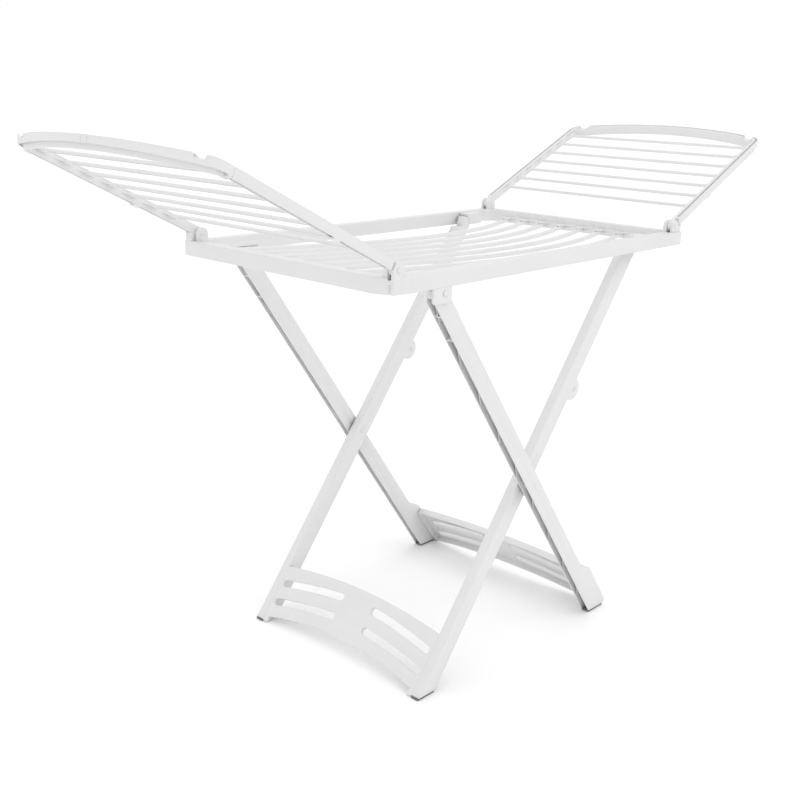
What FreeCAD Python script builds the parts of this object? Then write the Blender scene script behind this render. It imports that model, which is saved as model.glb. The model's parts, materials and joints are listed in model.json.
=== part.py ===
"""Folding clothes drying rack, injection moulded in white plastic.

A rectangular centre frame with eight sagging rails stands on two crossed leg frames.
A wing with seven rails is hinged at each short end and rests raised on its stops.

Millimetres, +Z up.  The origin is on the floor under the middle of the whole rack,
X runs along the long side from the left wing to the right wing, and Y across it.
"""
import FreeCAD, Part
import math
import os

Vec = FreeCAD.Vector

# ---- centre frame -------------------------------------------------------------------
FRAME_LENGTH = 958.6
FRAME_WIDTH = 550.0
FRAME_TOP = 858.5
FRAME_BOTTOM = 830.0
BAR_WIDTH = 25.0
WALL = 2.6
CORNER_RADIUS = 48.0      # at the near left and far right corners
TIGHT_RADIUS = 2.5        # at the other two
END_SOCKET_DEPTH = 9.0    # thick inner wall of an end bar, which the rails are rooted in
SCALLOP_RADIUS = 26.0
SCALLOP_DEPTH = 5.0

RAIL_COUNT = 8
RAIL_PITCH = 54.0
RAIL_WIDTH = 9.0
RAIL_HEIGHT = 9.0
RAIL_LEFT_Z = 847.0
RAIL_RIGHT_Z = 842.0
RAIL_PULL_X = 309.0       # control point of the rail's sagging curve, from mid-frame
RAIL_PULL_Z = 797.0
GUSSET_THICKNESS = 3.0
FRAME_GUSSET = (27.0, 25.5)       # reach along the rail, half width at the bar
GUSSET_HOLLOW = 0.28      # how far the middle of a gusset's curved side is along and across

# ---- wings --------------------------------------------------------------------------
HINGE_X = 455.5           # from mid-frame
HINGE_Z = 871.5
WING_ANGLE = {"left": 26.3, "right": 24.5}
WING_LENGTH = 453.6       # to the middle of the outer bar, at the height of WING_LOW
WING_ARM_OUTSIDE = 270.4
WING_ARM_WIDTH = 14.0
WING_LOW, WING_TOP = -6.0, 11.4
WING_LEAN = 0.42          # outward lean of the outer bar, per millimetre of height
OUTER_BAR_CROWN = 8.4     # the outer bar's top edge dips to this at the middle
WING_SHOULDER = 414.3     # where the arched outer bar meets the corner, along the arm
WING_CORNER_RADIUS = 22.0
WING_WALL = 2.0
WING_BAR_WIDTH = 12.0
WING_WEB = (3.0, 5.4)     # web between the two walls of an arm or outer bar
OUTER_BAR_LOW = (-3.0, -9.1)      # lower edges of the outer bar's outer and inner walls
TOP_GROOVE = 5.0          # width of the groove on top, beside the outer wall
FLANGE_LOW = 8.6          # underside of the flange beside that groove
WING_RAIL_COUNT = 7
WING_RAIL_FIRST = 82.6
WING_RAIL_PITCH = 48.5
WING_RAIL_WIDTH = 6.4
WING_RAIL_Z = (2.2, 8.2)
WING_GUSSET = (22.0, 23.0)
ARM_END_RADIUS = 11.4
KNUCKLE_OUTSIDE = 264.4   # the arm narrows to this between the ears
KNUCKLE_LENGTH = 17.0
NOTCH_FROM, NOTCH_TO = 226.0, 250.0
NOTCH_DEPTH = 6.5
CLIP_HALF_WIDTH = 11.0
CLIP_DEPTH = 1.6
NUB_AT = 155.0
EAR_RADIUS = 12.8
OUTER_EAR_Y = (265.0, 271.2)
INNER_EAR_Y = (247.6, 255.6)
ARM_POCKET_Y = (255.6, 271.0)
STOP_REACH = (13.5, 23.0)
BRACKET_SUNK = 12.0       # how deep a bracket is let into the frame
BRACKET_SADDLE = 4.0      # depth below the frame's top of the saddle between the ears
HINGE_PIN_RADIUS = 3.5

# ---- legs ---------------------------------------------------------------------------
CROSS_X, CROSS_Z = -23.8, 379.5   # where the two leg frames cross, from mid-frame
OUTER_LEAN = 36.49        # degrees from upright
INNER_LEAN = 37.21
LEG_DEPTH = 37.5
LEG_WIDTH = 20.4
LEG_WALL = 2.0
OUTER_LEG_FACE = 269.3    # outward face of an outer leg
INNER_LEG_FACE = 243.3
PIVOT_ALONG = 540.8       # the frame pivot in an outer leg, from the crossing
PIVOT_OFFSET = 8.75
SKIN = 1.6                # wall of a long bar left in front of a lug
LUG_REACH = (32.0, 17.0)  # to the left and right of the frame pivot
LUG_LOW_Z = 801.0
LUG_CORNER = 9.0
OUTER_TOP = 555.0
SHOULDER_Z = 828.0        # flat shoulder of an inner leg under the frame
HEAD_TOP_Z = 850.0
SEAT_X = 341.0            # where the leaning seat face meets the bottom of the frame
SEAT_LEAN = 20.0
RIB_PITCH = 55.4
RIB_THICKNESS = 1.5
RIB_RECESS = 1.2
HEAD_WEBS = (443.0, 503.0)        # cross webs below an outer leg's pivot
PIN_RADIUS = 5.0
RUNNING_CLEARANCE = 0.05
LOBE_ALONG, LOBE_OFFSET, LOBE_RADIUS = 230.0, -18.0, 25.0
BLOCK_DEPTH = 19.5        # foot block that stands proud of an outer leg
BLOCK_START, BLOCK_FULL, BLOCK_END = -318.0, -352.0, -486.0
PAD_HEIGHT = 5.0

# ---- foot panels --------------------------------------------------------------------
PANEL_TOP_MID, PANEL_TOP_END = 155.0, 136.0
PANEL_LOW_MID, PANEL_LOW_END = 43.0, 14.0
PANEL_SKIRT = 16.0
PANEL_CLEARANCE = 1.0     # between a panel's lowest edge and the floor
PANEL_PLATE = 3.0
SLOT_WIDTH = 16.5
SLOT_INNER_Y, SLOT_OUTER_Y = 48.5, 208.5
SLOT_RISE = {"upper": (98.5, 123.0), "lower": (54.0, 78.0)}

CLEAR = 0.3               # gap between pieces that move past each other
HALF_LENGTH = FRAME_LENGTH / 2
HALF_WIDTH = FRAME_WIDTH / 2
BAR_INSIDE = HALF_WIDTH - BAR_WIDTH
SIDE_BAR_HALF = HALF_LENGTH - CORNER_RADIUS



def wing_reach(side):
    """How far a raised wing reaches from mid-frame, at the outer bar's lower edge."""
    angle = math.radians(WING_ANGLE[side])
    edge = OUTER_BAR_LOW[0]
    tip = WING_LENGTH + CLIP_DEPTH + (edge - WING_LOW) * WING_LEAN
    return HINGE_X + tip * math.cos(angle) - edge * math.sin(angle)


# Middle of the centre frame, measured from the middle of the whole rack.
FRAME_SHIFT = (wing_reach("left") - wing_reach("right")) / 2

os.makedirs("parts", exist_ok=True)


# ---- shapes -------------------------------------------------------------------------
def box(x, y, z):
    """Box from three (low, high) pairs."""
    return Part.makeBox(x[1] - x[0], y[1] - y[0], z[1] - z[0], Vec(x[0], y[0], z[0]))


def prism_along_y(points, y):
    """Prism from (x, z) corner points, between the two y values."""
    corners = [Vec(px, y[0], pz) for px, pz in points]
    face = Part.Face(Part.makePolygon(corners + corners[:1]))
    return face.extrude(Vec(0, y[1] - y[0], 0))


def prism_along_z(points, z):
    """Prism from (x, y) corner points, between the two z values."""
    corners = [Vec(px, py, z[0]) for px, py in points]
    face = Part.Face(Part.makePolygon(corners + corners[:1]))
    return face.extrude(Vec(0, 0, z[1] - z[0]))


def rod_along_y(x, z, radius, y):
    return Part.makeCylinder(radius, y[1] - y[0], Vec(x, y[0], z), Vec(0, 1, 0))


def union(shapes):
    return shapes[0].multiFuse(shapes[1:]).removeSplitter()


def mirror_y(shape):
    return shape.mirror(Vec(0, 0, 0), Vec(0, 1, 0))


def save(node, shape):
    """Write one node, moved from mid-frame to the middle of the whole rack."""
    solids = [s.copy() for s in shape.Solids]
    for solid in solids:
        solid.translate(Vec(FRAME_SHIFT, 0, 0))
        if not solid.isValid():
            raise ValueError(node + " is not valid")
    whole = solids[0] if len(solids) == 1 else Part.makeCompound(solids)
    whole.exportStep("parts/" + node + ".step")


# ---- centre frame -------------------------------------------------------------------
def rounded_slab(inset, z):
    """The frame's outline drawn in by an inset, with two wide and two tight corners."""
    half_x, half_y = HALF_LENGTH - inset, HALF_WIDTH - inset
    slab = box((-half_x, half_x), (-half_y, half_y), z)
    upright = [e for e in slab.Edges if e.BoundBox.ZLength > 1]
    wide = [e for e in upright if e.BoundBox.XMin * e.BoundBox.YMin > 0]
    tight = [e for e in upright if e.BoundBox.XMin * e.BoundBox.YMin < 0]
    slab = slab.makeFillet(max(CORNER_RADIUS - inset, 4.0), wide)
    corners = [e for e in slab.Edges if e.BoundBox.ZLength > 1
               and any((v.Point - w.Point).Length < 0.01
                       for v in e.Vertexes for w in sum([t.Vertexes for t in tight], []))]
    return slab.makeFillet(max(TIGHT_RADIUS - inset, 1.0), corners)


def frame_ring():
    """Downward-open channel all round: outer wall, top and inner wall."""
    ring = rounded_slab(0, (FRAME_BOTTOM, FRAME_TOP))
    outer_edges = [e for e in ring.Edges if e.BoundBox.ZMin > FRAME_TOP - 0.1]
    ring = ring.makeFillet(2.0, outer_edges)
    ring = ring.cut(rounded_slab(BAR_WIDTH, (FRAME_BOTTOM - 1, FRAME_TOP + 1)))
    hollow_z = (FRAME_BOTTOM - 1, FRAME_TOP - WALL)
    inner_x = HALF_LENGTH - BAR_WIDTH + END_SOCKET_DEPTH
    inner_y = HALF_WIDTH - BAR_WIDTH + WALL
    hollow = rounded_slab(WALL, hollow_z)
    hollow = hollow.cut(box((-inner_x, inner_x), (-inner_y, inner_y), hollow_z))
    return ring.cut(hollow)


def rail_rows(count, pitch):
    return [pitch * (i - (count - 1) / 2) for i in range(count)]


def end_bars(ring):
    """Left and right ends of the ring with their corners, scalloped between the rails."""
    bars = {}
    gap_middles = rail_rows(RAIL_COUNT + 1, RAIL_PITCH)
    scallop_z = (FRAME_TOP - 12.0, FRAME_TOP + 1)
    for side, sign in (("left", -1), ("right", 1)):
        reach = sorted((sign * SIDE_BAR_HALF, sign * (HALF_LENGTH + 1)))
        bar = ring.common(box(reach, (-300, 300), (FRAME_BOTTOM - 1, FRAME_TOP + 1)))
        centre_x = sign * (HALF_LENGTH - BAR_WIDTH - SCALLOP_RADIUS + SCALLOP_DEPTH)
        for y in gap_middles[1:-1]:
            bar = bar.cut(Part.makeCylinder(SCALLOP_RADIUS, scallop_z[1] - scallop_z[0],
                                            Vec(centre_x, y, scallop_z[0])))
        bars[side] = bar
    return bars


def side_bar(ring, sign, pivot):
    """Straight long bar, with its inner wall cut back for the leg head and the leg."""
    reach = sorted((sign * (HALF_WIDTH - BAR_WIDTH - 5), sign * (HALF_WIDTH + 1)))
    bar = ring.common(box((-SIDE_BAR_HALF, SIDE_BAR_HALF), reach,
                          (FRAME_BOTTOM - 1, FRAME_TOP + 1)))
    inner_wall = sorted((sign * (HALF_WIDTH - BAR_WIDTH - 1), sign * (HALF_WIDTH - WALL)))
    return bar.cut(box((pivot.x - 34, pivot.x + 24), inner_wall, (FRAME_BOTTOM - 1, 838)))


def gusset(size, half_tip, root, sign):
    """Flared plate in plan view at the end of a rail, with hollow curved sides.

    It lies along X, starts at x = root and narrows in the direction away from sign.
    """
    reach, half_width = size
    tip = root - sign * reach
    middle_x = root - sign * reach * GUSSET_HOLLOW
    middle_y = half_tip + (half_width - half_tip) * GUSSET_HOLLOW
    curves = [
        Part.Arc(Vec(root, half_width, 0), Vec(middle_x, middle_y, 0), Vec(tip, half_tip, 0)),
        Part.LineSegment(Vec(tip, half_tip, 0), Vec(tip, -half_tip, 0)),
        Part.Arc(Vec(tip, -half_tip, 0), Vec(middle_x, -middle_y, 0),
                 Vec(root, -half_width, 0)),
        Part.LineSegment(Vec(root, -half_width, 0), Vec(root, half_width, 0)),
    ]
    face = Part.Face(Part.Wire([c.toShape() for c in curves]))
    return face.extrude(Vec(0, 0, GUSSET_THICKNESS))


def centre_rail(y):
    """Rail that sags between the end bars, with a flared gusset at each end."""
    end_x = HALF_LENGTH - BAR_WIDTH
    curve = Part.BezierCurve()
    curve.setPoles([Vec(-end_x, y, RAIL_LEFT_Z), Vec(RAIL_PULL_X, y, RAIL_PULL_Z),
                    Vec(end_x, y, RAIL_RIGHT_Z)])
    spine = Part.Wire([curve.toShape()])
    half, low, high = RAIL_WIDTH / 2, -RAIL_HEIGHT / 2, RAIL_HEIGHT / 2
    outline = [(-half, low), (half, low), (half, high - 2.5), (half - 2.5, high),
               (-half + 2.5, high), (-half, high - 2.5)]
    section = Part.makePolygon([Vec(-end_x, y + a, RAIL_LEFT_Z + b)
                                for a, b in outline + outline[:1]])
    swept = spine.makePipeShell([section], True, False)
    span = box((-end_x, end_x), (y - half - 1, y + half + 1), (FRAME_BOTTOM - 60, FRAME_TOP))
    pieces = [swept.common(span)]
    for sign, z in ((-1, RAIL_LEFT_Z), (1, RAIL_RIGHT_Z)):
        plate = gusset(FRAME_GUSSET, half - 0.6, sign * end_x, sign)
        plate.translate(Vec(0, y, z - 0.5))
        pieces.append(plate)
    return union(pieces)


def has_wide_corner(side, sign_y):
    """Whether the frame's corner there is one of the two wide ones."""
    return (side == "left") == (sign_y < 0)


def arm_underside(side, reach):
    """Height of the raised arm's lower edge, at a distance outside the hinge."""
    angle = math.radians(WING_ANGLE[side])
    return HINGE_Z + reach * math.tan(angle) + WING_LOW / math.cos(angle)


def hinge_bracket(side, sign_y):
    """Two rounded ears for the wing's pin, joined under the arm.

    At a tight corner a stop stands under the arm.  At a wide corner the outer ear runs
    down the rounded face as a tab.
    """
    sign = -1 if side == "left" else 1
    wide = has_wide_corner(side, sign_y)
    foot_z = FRAME_TOP - BRACKET_SUNK
    hinge_x = sign * HINGE_X
    span = (hinge_x - EAR_RADIUS, hinge_x + EAR_RADIUS)
    pieces = [box(span, (INNER_EAR_Y[0], OUTER_EAR_Y[1]), (foot_z, FRAME_TOP - BRACKET_SADDLE))]
    for ear_y, low_z in ((OUTER_EAR_Y, FRAME_BOTTOM if wide else foot_z), (INNER_EAR_Y, foot_z)):
        pieces.append(box(span, ear_y, (low_z, HINGE_Z)))
        pieces.append(rod_along_y(hinge_x, HINGE_Z, EAR_RADIUS, ear_y))
    if not wide:
        near, far = STOP_REACH
        stop = [(sign * (HINGE_X + near - 1), foot_z), (sign * (HINGE_X + far), foot_z),
                (sign * (HINGE_X + far), arm_underside(side, far) - CLEAR),
                (sign * (HINGE_X + near - 1), arm_underside(side, near - 1) - CLEAR)]
        pieces.append(prism_along_y(stop, (WING_ARM_OUTSIDE - WING_ARM_WIDTH, OUTER_EAR_Y[1])))
    bracket = union(pieces)
    bracket = bracket.cut(rod_along_y(hinge_x, HINGE_Z, HINGE_PIN_RADIUS, (240, 290)))
    knuckle = rod_along_y(hinge_x, HINGE_Z, ARM_END_RADIUS + 2 * CLEAR,
                          (INNER_EAR_Y[1], OUTER_EAR_Y[0]))
    bracket = bracket.cut(knuckle)
    return mirror_y(bracket) if sign_y < 0 else bracket


def pivot_lug(pivot, sign_y):
    """Plate that hangs from a long bar over the outside of an outer leg."""
    inside, outside = OUTER_LEG_FACE + 0.7, HALF_WIDTH
    left, right = pivot.x - LUG_REACH[0], pivot.x + LUG_REACH[1]
    plate = box((left, right), (inside, outside), (LUG_LOW_Z, FRAME_TOP - 6))
    low = [e for e in plate.Edges if e.BoundBox.ZMax < FRAME_BOTTOM and e.BoundBox.YLength > 1]
    plate = plate.makeFillet(LUG_CORNER, low)
    plate = plate.cut(box((left - 1, right + 1), (outside - SKIN, outside + 1),
                          (FRAME_BOTTOM, FRAME_TOP)))
    plate = plate.cut(rod_along_y(pivot.x, pivot.z, PIN_RADIUS, (260, 290)))
    return mirror_y(plate) if sign_y < 0 else plate


def seat_face_x(z):
    """The seat's bearing face, which leans over the leg head."""
    return SEAT_X - (z - FRAME_BOTTOM) * math.tan(math.radians(SEAT_LEAN))


def leg_head_seat(sign_y):
    """Block on the inner face of a long bar that an inner leg's head leans against."""
    low_z, high_z = FRAME_BOTTOM + 0.8, FRAME_TOP - 2
    profile = [(seat_face_x(low_z), low_z), (SEAT_X + 43, low_z), (SEAT_X + 43, high_z),
               (seat_face_x(high_z), high_z)]
    seat = prism_along_y(profile, (223.0, BAR_INSIDE))
    return mirror_y(seat) if sign_y < 0 else seat


# ---- wings --------------------------------------------------------------------------
def wing_outline(inset, z):
    """Flat wing shape between the two arms, drawn in by an inset: hinge end at x = 0.

    It leans outward with height, which only shows at the outer bar.
    """
    half = WING_ARM_OUTSIDE - inset
    radius = max(WING_CORNER_RADIUS - inset, 4.0)
    chord_half = half - radius
    lean = (z[0] - WING_LOW) * WING_LEAN
    shoulder, crown = WING_SHOULDER - inset + lean, WING_LENGTH - inset + lean
    corner = shoulder - radius
    turn = radius * (1 - math.sqrt(0.5))
    curves = [
        Part.LineSegment(Vec(-60, -half, 0), Vec(corner, -half, 0)),
        Part.Arc(Vec(corner, -half, 0), Vec(shoulder - turn, -half + turn, 0),
                 Vec(shoulder, -chord_half, 0)),
        Part.Arc(Vec(shoulder, -chord_half, 0), Vec(crown, 0, 0),
                 Vec(shoulder, chord_half, 0)),
        Part.Arc(Vec(shoulder, chord_half, 0), Vec(shoulder - turn, half - turn, 0),
                 Vec(corner, half, 0)),
        Part.LineSegment(Vec(corner, half, 0), Vec(-60, half, 0)),
        Part.LineSegment(Vec(-60, half, 0), Vec(-60, -half, 0)),
    ]
    face = Part.Face(Part.Wire([c.toShape() for c in curves]))
    height = z[1] - z[0]
    solid = face.extrude(Vec(height * WING_LEAN, 0, height))
    solid.translate(Vec(0, 0, z[0]))
    return solid


def wing_ring(outer_inset, inner_inset, z):
    """What lies between two insets of the wing's outline."""
    return wing_outline(outer_inset, z).cut(wing_outline(inner_inset, z))


def wing_band(width, low):
    """Outer edge of the wing: an outer and an inner wall, each to its own lower edge.

    A narrow groove on top lies beside the outer wall, and a flange beside the groove.
    """
    base = min(low)
    band = wing_ring(0, width, (base, WING_TOP))
    inner_wall = width - WING_WALL
    band = band.cut(wing_ring(WING_WALL, WING_WALL + TOP_GROOVE, (WING_WEB[1], WING_TOP + 1)))
    band = band.cut(wing_ring(WING_WALL, inner_wall, (base - 1, WING_WEB[0])))
    under_flange = 2 * WING_WALL + TOP_GROOVE
    if under_flange < inner_wall - 1:
        band = band.cut(wing_ring(under_flange, inner_wall, (WING_WEB[0] - 1, FLANGE_LOW)))
    if low[0] > base:
        band = band.cut(wing_ring(-1, inner_wall, (base - 1, low[0])))
    return band


def wing_arm(sign_y):
    """Straight arm of a wing with its rounded hinge end and the nub underneath."""
    reach = sorted((sign_y * (WING_ARM_OUTSIDE - WING_ARM_WIDTH - 1),
                    sign_y * (WING_ARM_OUTSIDE + 1)))
    end_x = WING_SHOULDER - WING_CORNER_RADIUS - 8
    band = wing_band(WING_ARM_WIDTH, (WING_LOW, WING_LOW))
    arm = band.common(box((KNUCKLE_LENGTH + 4, end_x), reach, (-20, 20)))
    inside = WING_ARM_OUTSIDE - WING_ARM_WIDTH
    width = sorted((sign_y * inside, sign_y * WING_ARM_OUTSIDE))
    narrow = sorted((sign_y * inside, sign_y * KNUCKLE_OUTSIDE))
    block = box((KNUCKLE_LENGTH, KNUCKLE_LENGTH + 5), width, (WING_LOW, WING_TOP))
    neck = box((0, KNUCKLE_LENGTH + 1), narrow, (WING_LOW, WING_TOP))
    knuckle = rod_along_y(0, 0, ARM_END_RADIUS, narrow)
    nub = box((NUB_AT - 7, NUB_AT + 7), width, (WING_LOW - 3, WING_LOW + 1))
    arm = union([arm, block, neck, knuckle, nub])
    bore_radius = HINGE_PIN_RADIUS + RUNNING_CLEARANCE
    return arm.cut(rod_along_y(0, 0, bore_radius, (width[0] - 1, width[1] + 1)))


def crown_cutter():
    """Everything above the outer bar's dipped top edge."""
    ends = [Vec(360, y, WING_TOP + 0.5) for y in (-275, 275)]
    edge = Part.Arc(ends[0], Vec(360, 0, OUTER_BAR_CROWN), ends[1]).toShape()
    lid = [Vec(360, 275, 30), Vec(360, -275, 30)]
    sides = Part.makePolygon([ends[1]] + lid + [ends[0]])
    return Part.Face(Part.Wire([edge] + sides.Edges)).extrude(Vec(140, 0, 0))


def wing_outer_bar():
    """Arched bar across the outer end, with a notch near each corner and a middle clip."""
    start_x = WING_SHOULDER - WING_CORNER_RADIUS - 8
    reach = box((start_x, 500), (-270, 270), (-20, 20))
    bar = wing_band(WING_BAR_WIDTH, OUTER_BAR_LOW).common(reach)
    for sign in (-1, 1):
        root = sign * WING_ARM_OUTSIDE
        inner = sign * (WING_ARM_OUTSIDE - WING_ARM_WIDTH)
        filler = box((start_x, start_x + 6), sorted((root - sign * 1, inner)),
                     (WING_LOW, WING_WEB[1]))
        bar = bar.fuse(filler)
        notch = [(sign * (NOTCH_FROM - 2), WING_TOP + 2),
                 (sign * NOTCH_FROM, WING_TOP - NOTCH_DEPTH),
                 (sign * (NOTCH_TO - 5), WING_TOP - NOTCH_DEPTH), (sign * NOTCH_TO, WING_TOP + 2)]
        corners = [Vec(390, y, z) for y, z in notch]
        cutter = Part.Face(Part.makePolygon(corners + corners[:1])).extrude(Vec(90, 0, 0))
        bar = bar.cut(cutter)
    band = wing_ring(-CLIP_DEPTH, 1.0, (OUTER_BAR_LOW[0], WING_TOP))
    for low_y in (-CLIP_HALF_WIDTH, CLIP_HALF_WIDTH - 5):
        rib = band.common(box((420, 500), (low_y, low_y + 5), (-20, 20)))
        bar = bar.fuse(rib)
    return bar.cut(crown_cutter()).removeSplitter()


def wing_rail(index):
    """Straight rail across a wing, grooved underneath, with gussets at both arms."""
    x = WING_RAIL_FIRST + index * WING_RAIL_PITCH
    half_span = WING_ARM_OUTSIDE - WING_ARM_WIDTH
    half = WING_RAIL_WIDTH / 2
    low, top = WING_RAIL_Z
    outline = [(x - half, low), (x + half, low), (x + half, top - 2), (x + half - 2, top),
               (x - half + 2, top), (x - half, top - 2)]
    rail = prism_along_y(outline, (-half_span, half_span))
    rail = rail.cut(box((x - 1.4, x + 1.4), (-half_span + 26, half_span - 26),
                        (low - 1, low + 3)))
    pieces = [rail]
    for sign in (-1, 1):
        plate = gusset(WING_GUSSET, half - 0.4, 0, 1)
        plate.rotate(Vec(0, 0, 0), Vec(0, 0, 1), 90 * sign)
        plate.translate(Vec(x, sign * half_span, low + 1.2))
        pieces.append(plate)
    return union(pieces)


def place_wing(shape, side):
    """Turn a wing made flat with its hinge on the Y axis to its raised rest position."""
    placed = shape.copy()
    if side == "left":
        placed.rotate(Vec(0, 0, 0), Vec(0, 0, 1), 180)
    sign = -1 if side == "left" else 1
    placed.rotate(Vec(0, 0, 0), Vec(0, 1, 0), -sign * WING_ANGLE[side])
    placed.translate(Vec(sign * HINGE_X, 0, HINGE_Z))
    return placed


def wing_pin(side, sign_y):
    """Hinge pin through both ears of a fork and the arm between them, with a low head."""
    sign = -1 if side == "left" else 1
    outside = OUTER_EAR_Y[1]
    shank = rod_along_y(sign * HINGE_X, HINGE_Z, HINGE_PIN_RADIUS,
                        (INNER_EAR_Y[0] - 1.0, outside))
    head = rod_along_y(sign * HINGE_X, HINGE_Z, HINGE_PIN_RADIUS + 1.6, (outside, outside + 1.0))
    pin = union([shank, head])
    return mirror_y(pin) if sign_y < 0 else pin


# ---- legs ---------------------------------------------------------------------------
def leg_frame_placement(lean, leans_left):
    """Local X up along the leg from the crossing, local Z out of its closed face."""
    s, c = math.sin(math.radians(lean)), math.cos(math.radians(lean))
    if leans_left:
        matrix = FreeCAD.Matrix(-s, 0, c, CROSS_X, 0, -1, 0, 0, c, 0, s, CROSS_Z, 0, 0, 0, 1)
    else:
        matrix = FreeCAD.Matrix(s, 0, -c, CROSS_X, 0, 1, 0, 0, c, 0, s, CROSS_Z, 0, 0, 0, 1)
    return FreeCAD.Placement(matrix)


def zigzag_rib(length, inner_half_width, depth):
    """Rib that runs to and fro between a channel's side walls."""
    steps = int((length[1] - length[0]) / RIB_PITCH)
    line = [(length[0] + i * RIB_PITCH, inner_half_width * (1 if i % 2 else -1))
            for i in range(steps + 1)]
    shift = RIB_THICKNESS * 1.35
    back = [(x + shift, y) for x, y in reversed(line)]
    return prism_along_z(line + back, depth)


def leg_channel(x_low, x_high, top_profile, solid_ends):
    """Channel with its open side at low Z, along X, centred on Y = 0."""
    half_d, half_w = LEG_DEPTH / 2, LEG_WIDTH / 2
    profile = [(x_low, -half_d)] + top_profile + [(x_low, half_d)]
    body = prism_along_y(profile, (-half_w, half_w))
    hollow_x = (x_low + solid_ends[0], x_high - solid_ends[1])
    hollow = box(hollow_x, (-half_w + LEG_WALL, half_w - LEG_WALL),
                 (-half_d - 1, half_d - LEG_WALL))
    body = body.cut(hollow)
    ribs = zigzag_rib((hollow_x[0] + 6, hollow_x[1] - 6), half_w - LEG_WALL + 0.4,
                      (-half_d + RIB_RECESS, half_d - LEG_WALL + 0.5))
    return body.fuse(ribs)


def boss(x, z, radius):
    """Round boss across a leg that a pin runs through."""
    return rod_along_y(x, z, radius, (-LEG_WIDTH / 2, LEG_WIDTH / 2))


def outer_leg():
    """Outer leg about its own middle plane: pivot at the top, foot block at the bottom."""
    half_d, half_w = LEG_DEPTH / 2, LEG_WIDTH / 2
    top = [(OUTER_TOP - 16, -half_d), (OUTER_TOP, -6), (OUTER_TOP, 12), (OUTER_TOP - 6, half_d)]
    leg = leg_channel(-520, OUTER_TOP, top, (52, 10))
    leg = leg.fuse(boss(PIVOT_ALONG, PIVOT_OFFSET, PIN_RADIUS + 4))
    for x in HEAD_WEBS:
        leg = leg.fuse(box((x, x + 2), (-half_w + 1, half_w - 1),
                           (-half_d + RIB_RECESS, half_d - 1)))
    block = [(BLOCK_START, half_d - 1), (BLOCK_FULL, half_d + BLOCK_DEPTH),
             (BLOCK_END + 4, half_d + BLOCK_DEPTH), (BLOCK_END, half_d + BLOCK_DEPTH - 4),
             (BLOCK_END, half_d - 1)]
    leg = leg.fuse(prism_along_y(block, (-half_w, half_w)))
    leg = leg.fuse(boss(0, 0, PIN_RADIUS + 4))
    leg = leg.cut(box((-540, BLOCK_END), (-half_w - 1, half_w + 1), (-40, 60)))
    leg = leg.cut(boss(0, 0, PIN_RADIUS).fuse(
        boss(PIVOT_ALONG, PIVOT_OFFSET, PIN_RADIUS + RUNNING_CLEARANCE)))
    return leg.removeSplitter()


def inner_leg():
    """Inner leg about its own middle plane, with its lobe and its seat head."""
    half_d, half_w = LEG_DEPTH / 2, LEG_WIDTH / 2
    leg = leg_channel(-520, 600, [(600, -half_d), (600, half_d)], (52, 60))
    lobe = rod_along_y(LOBE_ALONG, LOBE_OFFSET, LOBE_RADIUS, (-half_w, half_w))
    core = box((100, 400), (-half_w + LEG_WALL, half_w - LEG_WALL), (-half_d, half_d))
    dimple = rod_along_y(LOBE_ALONG + 2, LOBE_OFFSET - 6, 5.0, (half_w - 1.5, half_w + 1))
    lobe = lobe.cut(core).cut(dimple).cut(mirror_y(dimple))
    leg = leg.fuse(lobe)
    leg = leg.fuse(boss(0, 0, PIN_RADIUS + 4))
    return leg.cut(boss(0, 0, PIN_RADIUS + RUNNING_CLEARANCE)).removeSplitter()


def inner_head():
    """Upright tongue on the leg's flat shoulder, beside the seat."""
    bearing_low = seat_face_x(SHOULDER_Z + 2) - 0.5
    bearing_high = seat_face_x(HEAD_TOP_Z) - 0.5
    left = bearing_high - 14
    profile = [(left - 6, SHOULDER_Z - 8), (bearing_low - 8, SHOULDER_Z - 8),
               (bearing_low, SHOULDER_Z + 2), (bearing_high, HEAD_TOP_Z),
               (left, HEAD_TOP_Z), (left - 6, SHOULDER_Z + 6)]
    return prism_along_y(profile, (-9, 9))


def floor_cut(shape, floor_z):
    return shape.cut(box((-700, 700), (-320, 320), (floor_z - 200, floor_z)))


def foot_pad(leg, floor_hold):
    """Rubber pad: the lowest slice of the leg's own outline, a little inside it."""
    lowest = leg.common(box((-700, 700), (-320, 320), (-1, floor_hold)))
    bound = lowest.BoundBox
    return box((bound.XMin + 1, bound.XMax - 1), (bound.YMin + 1, bound.YMax - 1),
               (0, floor_hold))


# ---- foot panels --------------------------------------------------------------------
def arched_slab(half_width, inset, depth):
    """Arched band drawn flat: X across, Y up the leg, Z into the panel."""
    top_end, top_mid = PANEL_TOP_END - inset, PANEL_TOP_MID - inset
    low_end, low_mid = PANEL_LOW_END + inset, PANEL_LOW_MID + inset
    half = half_width - inset
    curves = [
        Part.Arc(Vec(-half, top_end, 0), Vec(0, top_mid, 0), Vec(half, top_end, 0)),
        Part.LineSegment(Vec(half, top_end, 0), Vec(half, low_end, 0)),
        Part.Arc(Vec(half, low_end, 0), Vec(0, low_mid, 0), Vec(-half, low_end, 0)),
        Part.LineSegment(Vec(-half, low_end, 0), Vec(-half, top_end, 0)),
    ]
    face = Part.Face(Part.Wire([c.toShape() for c in curves]))
    slab = face.extrude(Vec(0, 0, depth[1] - depth[0]))
    slab.translate(Vec(0, 0, depth[0]))
    return slab


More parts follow.
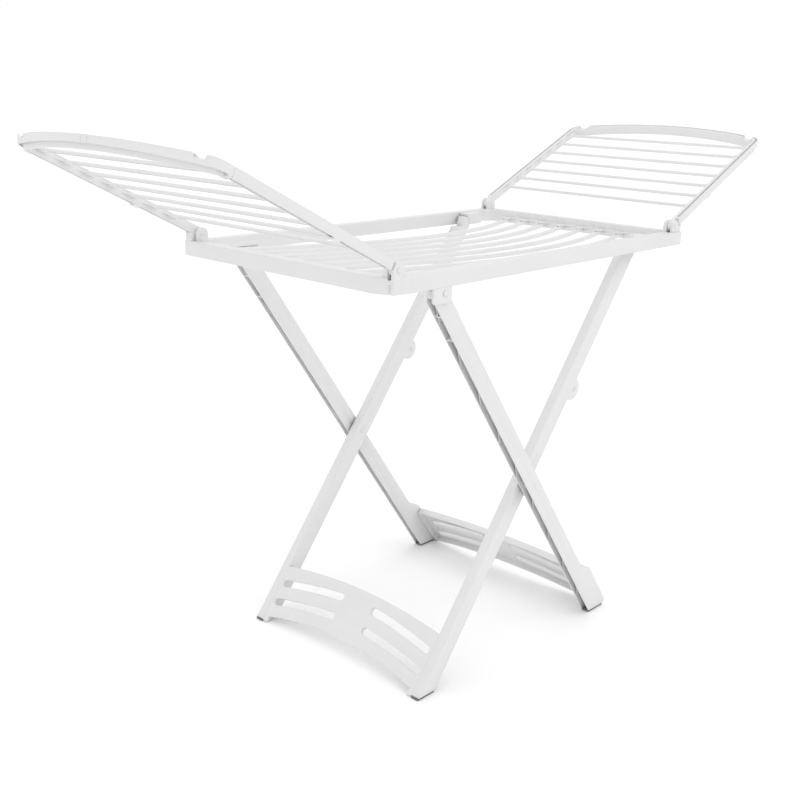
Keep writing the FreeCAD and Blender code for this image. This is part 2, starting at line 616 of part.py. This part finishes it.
def slot_shape(row, sign, width, depth):
    """Curved slot with rounded ends, between its inner and outer ends."""
    low, high = SLOT_RISE[row]
    middle_y = (SLOT_INNER_Y + SLOT_OUTER_Y) / 2

    def height(y):
        return high + (low - high) * ((y - SLOT_INNER_Y) / (SLOT_OUTER_Y - SLOT_INNER_Y)) ** 1.35

    ends = [Vec(sign * y, height(y), 0) for y in (SLOT_INNER_Y, middle_y, SLOT_OUTER_Y)]
    half = Vec(0, width / 2, 0)
    upper = Part.Arc(*[p + half for p in ends]).toShape()
    lower = Part.Arc(*[p - half for p in ends]).toShape()
    sides = [Part.LineSegment(p + half, p - half).toShape() for p in (ends[0], ends[2])]
    face = Part.Face(Part.Wire(Part.__sortEdges__([upper, lower] + sides)))
    slot = face.extrude(Vec(0, 0, depth[1] - depth[0]))
    slot.translate(Vec(0, 0, depth[0]))
    for point in (ends[0], ends[2]):
        end = Part.makeCylinder(width / 2, depth[1] - depth[0], Vec(point.x, point.y, depth[0]))
        slot = slot.fuse(end)
    return slot.removeSplitter()


def foot_panel(half_width, tab_width):
    """Arched plate with a deep rim, and four rimmed slots."""
    plate = arched_slab(half_width, 0, (0, PANEL_SKIRT))
    plate = plate.cut(arched_slab(half_width, WALL, (PANEL_PLATE, PANEL_SKIRT + 1)))
    slots = [(row, sign) for row in SLOT_RISE for sign in (-1, 1)]
    for row, sign in slots:
        rim = slot_shape(row, sign, SLOT_WIDTH + 2 * 2.0, (PANEL_PLATE - 0.5, 9.0))
        plate = plate.fuse(rim)
    for row, sign in slots:
        plate = plate.cut(slot_shape(row, sign, SLOT_WIDTH, (-1, PANEL_SKIRT + 2)))
    tabs = [box(sorted((sign * half_width, sign * (half_width - tab_width))), (4, 30),
                (0, PANEL_SKIRT)) for sign in (-1, 1)]
    return union([plate] + tabs)


def panel_placement(lean, leans_left, face_offset):
    """Panel X along Y, panel Y up the leg from the floor, panel Z into the leg's depth."""
    s, c = math.sin(math.radians(lean)), math.cos(math.radians(lean))
    side = 1 if leans_left else -1
    base_x = CROSS_X + side * (CROSS_Z * s + face_offset) / c
    up = Vec(-side * s, 0, c)
    inward = Vec(-side * c, 0, -s)
    across = up.cross(inward)
    matrix = FreeCAD.Matrix(across.x, up.x, inward.x, base_x, across.y, up.y, inward.y, 0,
                            across.z, up.z, inward.z, 0, 0, 0, 0, 1)
    return FreeCAD.Placement(matrix)


def placed(shape, placement):
    copy = shape.copy()
    copy.Placement = placement.multiply(copy.Placement)
    return copy


def leg_pin(x, z, y_inside, head_from):
    """Headed pin across a leg, from the inside of the rack outwards."""
    shank = rod_along_y(x, z, PIN_RADIUS, (y_inside, head_from))
    head = rod_along_y(x, z, PIN_RADIUS + 1.4, (head_from, head_from + 1.2))
    return union([shank, head])


def both_sides(shape):
    return Part.makeCompound([shape, mirror_y(shape)])


def make_centre_frame(pivot):
    ring = frame_ring()
    brackets = {side: [hinge_bracket(side, sign) for sign in (-1, 1)]
                for side in ("left", "right")}
    for side, bar in end_bars(ring).items():
        hinge_x = -HINGE_X if side == "left" else HINGE_X
        for sign, bracket in zip((-1, 1), brackets[side]):
            across = sorted((sign * ARM_POCKET_Y[0], sign * ARM_POCKET_Y[1]))
            slot = box((hinge_x - EAR_RADIUS, hinge_x + EAR_RADIUS), across,
                       (FRAME_TOP - 5, FRAME_TOP + 1))
            bar = bar.cut(bracket).cut(slot)
        save("end_bar_" + side, bar)
        save("wing_hinge_brackets_" + side, Part.makeCompound(brackets[side]))
        pins = [wing_pin(side, sign) for sign in (-1, 1)]
        save("wing_hinge_pins_" + side, Part.makeCompound(pins))
    lugs = [pivot_lug(pivot, sign) for sign in (-1, 1)]
    for side, sign, lug in (("near", -1, lugs[0]), ("far", 1, lugs[1])):
        save("side_bar_" + side, side_bar(ring, sign, pivot).cut(lug))
    save("leg_pivot_lugs", Part.makeCompound(lugs))
    save("leg_head_seats", Part.makeCompound([leg_head_seat(sign) for sign in (-1, 1)]))
    for number, y in enumerate(rail_rows(RAIL_COUNT, RAIL_PITCH), start=1):
        save("centre_rail_" + str(number), centre_rail(y))
    pin = leg_pin(pivot.x, pivot.z, OUTER_LEG_FACE - LEG_WIDTH - 1.5, HALF_WIDTH)
    save("frame_pivot_pins", both_sides(pin))


def make_wings():
    for side in ("left", "right"):
        for name, sign in (("near", -1), ("far", 1)):
            local_sign = -sign if side == "left" else sign
            save(side + "_wing_arm_" + name, place_wing(wing_arm(local_sign), side))
        save(side + "_wing_outer_bar", place_wing(wing_outer_bar(), side))
        for index in range(WING_RAIL_COUNT):
            save(side + "_wing_rail_" + str(index + 1), place_wing(wing_rail(index), side))


def make_outer_legs():
    placement = leg_frame_placement(OUTER_LEAN, True)
    middle = OUTER_LEG_FACE - LEG_WIDTH / 2
    whole = placed(outer_leg(), placement)
    whole.translate(Vec(0, middle, 0))
    foot = floor_cut(whole, 0)
    leg = floor_cut(whole, PAD_HEIGHT)
    save("outer_leg_far", leg)
    save("outer_leg_near", mirror_y(leg))
    save("outer_foot_pads", both_sides(foot_pad(foot, PAD_HEIGHT)))
    half_width = OUTER_LEG_FACE - LEG_WIDTH
    panel = foot_panel(half_width, 10.0)
    offset = LEG_DEPTH / 2 + BLOCK_DEPTH
    panel = placed(panel, panel_placement(OUTER_LEAN, True, offset))
    save("outer_foot_panel", floor_cut(panel, PANEL_CLEARANCE))
    pin = rod_along_y(CROSS_X, CROSS_Z, PIN_RADIUS,
                      (INNER_LEG_FACE - LEG_WIDTH - 1.0, OUTER_LEG_FACE))
    save("cross_pivot_pins", both_sides(pin))


def make_inner_legs():
    placement = leg_frame_placement(INNER_LEAN, False)
    middle = INNER_LEG_FACE - LEG_WIDTH / 2
    whole = placed(inner_leg(), placement)
    above = box((-700, 700), (-40, 40), (SHOULDER_Z, SHOULDER_Z + 200))
    whole = whole.cut(above).fuse(inner_head()).removeSplitter()
    whole.translate(Vec(0, middle, 0))
    foot = floor_cut(whole, 0)
    leg = floor_cut(whole, PAD_HEIGHT)
    save("inner_leg_far", leg)
    save("inner_leg_near", mirror_y(leg))
    save("inner_foot_pads", both_sides(foot_pad(foot, PAD_HEIGHT)))
    panel = foot_panel(INNER_LEG_FACE - LEG_WIDTH, 12.0)
    panel = placed(panel, panel_placement(INNER_LEAN, False, LEG_DEPTH / 2))
    save("inner_foot_panel", floor_cut(panel, PANEL_CLEARANCE))


def frame_pivot():
    """The outer legs' pivot under the frame, from its place along the leg."""
    s, c = math.sin(math.radians(OUTER_LEAN)), math.cos(math.radians(OUTER_LEAN))
    return Vec(CROSS_X - s * PIVOT_ALONG + c * PIVOT_OFFSET, 0,
               CROSS_Z + c * PIVOT_ALONG + s * PIVOT_OFFSET)


pivot_point = frame_pivot()
make_centre_frame(pivot_point)
make_wings()
make_outer_legs()
make_inner_legs()
print("frame pivot", pivot_point.x + FRAME_SHIFT, pivot_point.z)
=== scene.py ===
"""Looks of the folding clothes drying rack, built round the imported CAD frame.  Metres."""
import json
import math

import bmesh
import bpy
from mathutils import Matrix, Vector


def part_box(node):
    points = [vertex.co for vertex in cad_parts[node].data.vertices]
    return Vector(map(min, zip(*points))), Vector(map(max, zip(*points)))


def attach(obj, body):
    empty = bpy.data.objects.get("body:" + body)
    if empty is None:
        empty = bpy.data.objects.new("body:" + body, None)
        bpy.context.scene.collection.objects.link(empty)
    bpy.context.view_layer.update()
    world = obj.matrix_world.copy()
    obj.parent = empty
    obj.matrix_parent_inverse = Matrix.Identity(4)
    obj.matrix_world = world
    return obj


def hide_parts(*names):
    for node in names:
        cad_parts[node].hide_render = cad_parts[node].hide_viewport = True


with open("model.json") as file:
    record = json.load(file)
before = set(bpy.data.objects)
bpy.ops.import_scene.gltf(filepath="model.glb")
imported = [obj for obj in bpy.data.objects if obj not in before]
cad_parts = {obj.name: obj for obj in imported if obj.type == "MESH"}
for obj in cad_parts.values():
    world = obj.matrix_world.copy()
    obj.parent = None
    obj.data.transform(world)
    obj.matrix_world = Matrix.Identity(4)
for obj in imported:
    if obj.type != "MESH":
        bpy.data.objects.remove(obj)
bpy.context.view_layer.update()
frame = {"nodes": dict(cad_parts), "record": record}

MM = 0.001

# ---- camera -------------------------------------------------------------------------
CAMERA_AZIMUTH = math.radians(-47.889)
CAMERA_ELEVATION = math.radians(16.931)
CAMERA_ROLL = math.radians(1.659)
CAMERA_PLACE = Vector((-1.7947, -1.4882, 1.1837))   # from the middle of the centre frame
FOCAL_LENGTH = 49.87
SENSOR_WIDTH = 36.0
SHIFT = (0.0022, 0.0116)

# ---- light --------------------------------------------------------------------------
SKY_STRENGTH = 1.01
KEY_SUN = (15, 50, 0.24)      # azimuth and elevation in degrees, strength
TOP_SUN = (120, 70, 0.12)
SUN_SPREAD = math.radians(35)
FLOOR_SIZE = 60.0
FLOOR_GLOW = 0.05          # a lit studio floor, which washes out most of the shadow

# ---- edges --------------------------------------------------------------------------
EDGE_ROUND = 0.7 * MM
BUTTED_EDGE_ROUND = 0.3 * MM      # where pieces butt in one smooth face
EDGE_SEGMENTS = 2
WELD_DISTANCE = 0.004 * MM
FLAT_ANGLE = math.radians(1.0)
SHARP_ANGLE = math.radians(32)


# ---- materials ----------------------------------------------------------------------
PLASTIC_IOR = 1.49
PAINTED_SHADE_REACH = 30 * MM    # painted shade darkens recesses narrower than this
PAINTED_SHADE_SAMPLES = 8
# painted shade colours, multiplied into the plastic tone deep in recesses
LEG_PAINTED_SHADE = (0.68, 0.675, 0.62)
BAR_PAINTED_SHADE = (0.86, 0.86, 0.85)


def new_material(name):
    material = bpy.data.materials.new(name)
    material.use_nodes = True
    tree = material.node_tree
    return material, tree, tree.nodes["Principled BSDF"]


def noise(tree, scale, detail=3.0, roughness=0.5, stretch=(1, 1, 1)):
    """Noise in the object's own coordinates."""
    place = tree.nodes.new("ShaderNodeTexCoord")
    mapping = tree.nodes.new("ShaderNodeMapping")
    mapping.inputs["Scale"].default_value = stretch
    texture = tree.nodes.new("ShaderNodeTexNoise")
    texture.inputs["Scale"].default_value = scale
    texture.inputs["Detail"].default_value = detail
    texture.inputs["Roughness"].default_value = roughness
    tree.links.new(place.outputs["Object"], mapping.inputs["Vector"])
    tree.links.new(mapping.outputs["Vector"], texture.inputs["Vector"])
    return texture.outputs["Fac"]


def ramp(tree, source, low, high, colours):
    """Blend between two colours as a value goes from low to high."""
    node = tree.nodes.new("ShaderNodeValToRGB")
    node.color_ramp.elements[0].position = low
    node.color_ramp.elements[1].position = high
    node.color_ramp.elements[0].color = (*colours[0], 1)
    node.color_ramp.elements[1].color = (*colours[1], 1)
    tree.links.new(source, node.inputs["Fac"])
    return node.outputs["Color"]


def spread(tree, source, low, high):
    """Map a 0 to 1 value to a range."""
    node = tree.nodes.new("ShaderNodeMapRange")
    node.inputs["To Min"].default_value = low
    node.inputs["To Max"].default_value = high
    tree.links.new(source, node.inputs["Value"])
    return node.outputs["Result"]


def bump(tree, shader, layers):
    """Stack bump layers: (height, strength, distance in metres)."""
    previous = None
    for height, strength, distance in layers:
        node = tree.nodes.new("ShaderNodeBump")
        node.inputs["Strength"].default_value = strength
        node.inputs["Distance"].default_value = distance
        tree.links.new(height, node.inputs["Height"])
        if previous:
            tree.links.new(previous, node.inputs["Normal"])
        previous = node.outputs["Normal"]
    tree.links.new(previous, shader.inputs["Normal"])


def painted_recess_shade(tree, tone, painted_shade_tone):
    """Painted shade: darken the tone inside narrow recesses, where shade falls, by ambient
    occlusion.
    """
    hidden = tree.nodes.new("ShaderNodeAmbientOcclusion")
    hidden.samples = PAINTED_SHADE_SAMPLES
    hidden.inputs["Distance"].default_value = PAINTED_SHADE_REACH
    shade = ramp(tree, hidden.outputs["AO"], 0.12, 0.6, (painted_shade_tone, (1.0, 1.0, 1.0)))
    mix = tree.nodes.new("ShaderNodeMix")
    mix.data_type = "RGBA"
    mix.blend_type = "MULTIPLY"
    mix.inputs[0].default_value = 1.0
    tree.links.new(tone, mix.inputs[6])
    tree.links.new(shade, mix.inputs[7])
    return mix.outputs[2]


def moulded_plastic(name, light, dark, painted_shade_tone, gloss=(0.36, 0.5), grain=0.25):
    """White moulded plastic: cloudy tone, uneven sheen, fine tool texture, slight sinks and
    painted shade in recesses.
    """
    material, tree, shader = new_material(name)
    tone = ramp(tree, noise(tree, 9.0, 2.0), 0.3, 0.7, (dark, light))
    # painted shade in recesses is multiplied into the tone
    tree.links.new(painted_recess_shade(tree, tone, painted_shade_tone), shader.inputs["Base Color"])
    tree.links.new(spread(tree, noise(tree, 35.0, 4.0), *gloss), shader.inputs["Roughness"])
    fine = noise(tree, 1400.0, 2.0)
    sink = noise(tree, 22.0, 1.0)
    bump(tree, shader, [(sink, 0.25, 0.6 * MM), (fine, grain, 0.05 * MM)])
    shader.inputs["IOR"].default_value = PLASTIC_IOR
    return material


def foot_rubber():
    """Dark matt rubber with a fine grain."""
    material, tree, shader = new_material("foot_rubber")
    tone = ramp(tree, noise(tree, 60.0, 4.0), 0.3, 0.7, ((0.12, 0.12, 0.125), (0.2, 0.2, 0.21)))
    tree.links.new(tone, shader.inputs["Base Color"])
    shader.inputs["Roughness"].default_value = 0.85
    bump(tree, shader, [(noise(tree, 700.0, 4.0), 0.5, 0.15 * MM)])
    return material


def floor_paper():
    """Pale studio paper, lightly lit from within."""
    material, tree, shader = new_material("floor_paper")
    tone = ramp(tree, noise(tree, 2.0, 3.0), 0.3, 0.7, ((0.93, 0.93, 0.93), (0.96, 0.96, 0.96)))
    tree.links.new(tone, shader.inputs["Base Color"])
    shader.inputs["Roughness"].default_value = 0.95
    shader.inputs["Emission Color"].default_value = (1.0, 1.0, 1.0, 1)
    shader.inputs["Emission Strength"].default_value = FLOOR_GLOW
    return material


MATERIALS = {
    "frame_plastic": moulded_plastic("frame_plastic", (0.755, 0.755, 0.758),
                                     (0.737, 0.738, 0.742), BAR_PAINTED_SHADE),
    "rail_plastic": moulded_plastic("rail_plastic", (0.768, 0.768, 0.769),
                                    (0.748, 0.749, 0.751), BAR_PAINTED_SHADE, gloss=(0.32, 0.44)),
    "leg_plastic": moulded_plastic("leg_plastic", (0.752, 0.752, 0.756), (0.735, 0.736, 0.741),
                                   LEG_PAINTED_SHADE),
    "pin_plastic": moulded_plastic("pin_plastic", (0.748, 0.748, 0.751), (0.73, 0.731, 0.735),
                                   BAR_PAINTED_SHADE, gloss=(0.28, 0.4), grain=0.12),
    "foot_rubber": foot_rubber(),
}


# ---- pieces -------------------------------------------------------------------------
def body_of_node():
    """Node name to the name of the body it belongs to."""
    bodies = frame["record"]["behaviour"]["bodies"]
    return {node: body for body, nodes in bodies.items() for node in nodes}


def slot_of_node():
    """Node name to the name of its material slot."""
    return {row["node"]: row["material_slot"] for row in frame["record"]["subparts"]}


def moulded_copy(node, body, slot, edge_round):
    """The node's shape with its moulded edges rounded, standing for the node."""
    mesh = frame["nodes"][node].data.copy()
    mesh.name = node + "_moulded"
    work = bmesh.new()
    work.from_mesh(mesh)
    bmesh.ops.remove_doubles(work, verts=work.verts, dist=WELD_DISTANCE)
    bmesh.ops.dissolve_limit(work, angle_limit=FLAT_ANGLE, use_dissolve_boundaries=False,
                             verts=work.verts, edges=work.edges, delimit={"NORMAL"})
    work.to_mesh(mesh)
    work.free()
    piece = bpy.data.objects.new(node + "_moulded", mesh)
    bpy.context.scene.collection.objects.link(piece)
    rounding = piece.modifiers.new("edges", "BEVEL")
    rounding.width = edge_round
    rounding.segments = EDGE_SEGMENTS
    rounding.limit_method = "ANGLE"
    rounding.angle_limit = SHARP_ANGLE
    rounding.use_clamp_overlap = True
    rounding.miter_outer = "MITER_ARC"
    mesh.materials.clear()
    mesh.materials.append(MATERIALS[slot])
    for face in mesh.polygons:
        face.use_smooth = True
    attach(piece, body)
    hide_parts(node)
    return piece


BUTTED = ("left_wing_arm", "left_wing_outer", "right_wing_arm", "right_wing_outer",
          "side_bar", "end_bar")


def make_pieces():
    """A moulded copy for every CAD node."""
    slots = slot_of_node()
    for node, body in body_of_node().items():
        butted = node.startswith(BUTTED)
        moulded_copy(node, body, slots[node], BUTTED_EDGE_ROUND if butted else EDGE_ROUND)


# ---- stage --------------------------------------------------------------------------
def make_floor():
    mesh = bpy.data.meshes.new("floor")
    half = FLOOR_SIZE / 2
    mesh.from_pydata([(-half, -half, 0), (half, -half, 0), (half, half, 0), (-half, half, 0)],
                     [], [(0, 1, 2, 3)])
    floor = bpy.data.objects.new("floor", mesh)
    bpy.context.scene.collection.objects.link(floor)
    mesh.materials.append(floor_paper())


def soft_sun(name, azimuth, elevation, strength):
    """Wide sun that shines from an azimuth (0 is the -Y side) and elevation, in degrees."""
    data = bpy.data.lights.new(name, "SUN")
    data.energy = strength
    data.angle = SUN_SPREAD
    lamp = bpy.data.objects.new(name, data)
    bpy.context.scene.collection.objects.link(lamp)
    turn, lift = math.radians(azimuth), math.radians(elevation)
    towards = Vector((math.sin(turn) * math.cos(lift), -math.cos(turn) * math.cos(lift),
                      math.sin(lift)))
    lamp.rotation_euler = (-towards).to_track_quat("-Z", "Y").to_euler()


def make_light():
    world = bpy.data.worlds.new("studio")
    bpy.context.scene.world = world
    world.use_nodes = True
    sky = world.node_tree.nodes["Background"]
    sky.inputs["Color"].default_value = (1.0, 1.0, 1.0, 1)
    sky.inputs["Strength"].default_value = SKY_STRENGTH
    soft_sun("key", *KEY_SUN)
    soft_sun("top", *TOP_SUN)


def make_camera():
    ends = [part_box("end_bar_left"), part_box("end_bar_right")]
    middle_x = (ends[0][0][0] + ends[1][1][0]) / 2
    data = bpy.data.cameras.new("camera")
    data.lens = FOCAL_LENGTH
    data.sensor_width = SENSOR_WIDTH
    data.shift_x, data.shift_y = SHIFT
    camera = bpy.data.objects.new("camera", data)
    bpy.context.scene.collection.objects.link(camera)
    azimuth, elevation = CAMERA_AZIMUTH, CAMERA_ELEVATION
    back = Vector((math.sin(azimuth) * math.cos(elevation),
                   -math.cos(azimuth) * math.cos(elevation), math.sin(elevation)))
    right = Vector((math.cos(azimuth), math.sin(azimuth), 0))
    up = back.cross(right)
    turned_right = right * math.cos(CAMERA_ROLL) + up * math.sin(CAMERA_ROLL)
    turned_up = up * math.cos(CAMERA_ROLL) - right * math.sin(CAMERA_ROLL)
    turn = Matrix((turned_right, turned_up, back)).transposed()
    place = CAMERA_PLACE + Vector((middle_x, 0, 0))
    camera.matrix_world = Matrix.Translation(place) @ turn.to_4x4()
    bpy.context.scene.camera = camera


make_pieces()
make_floor()
make_light()
make_camera()
bpy.context.scene.view_settings.view_transform = "Standard"
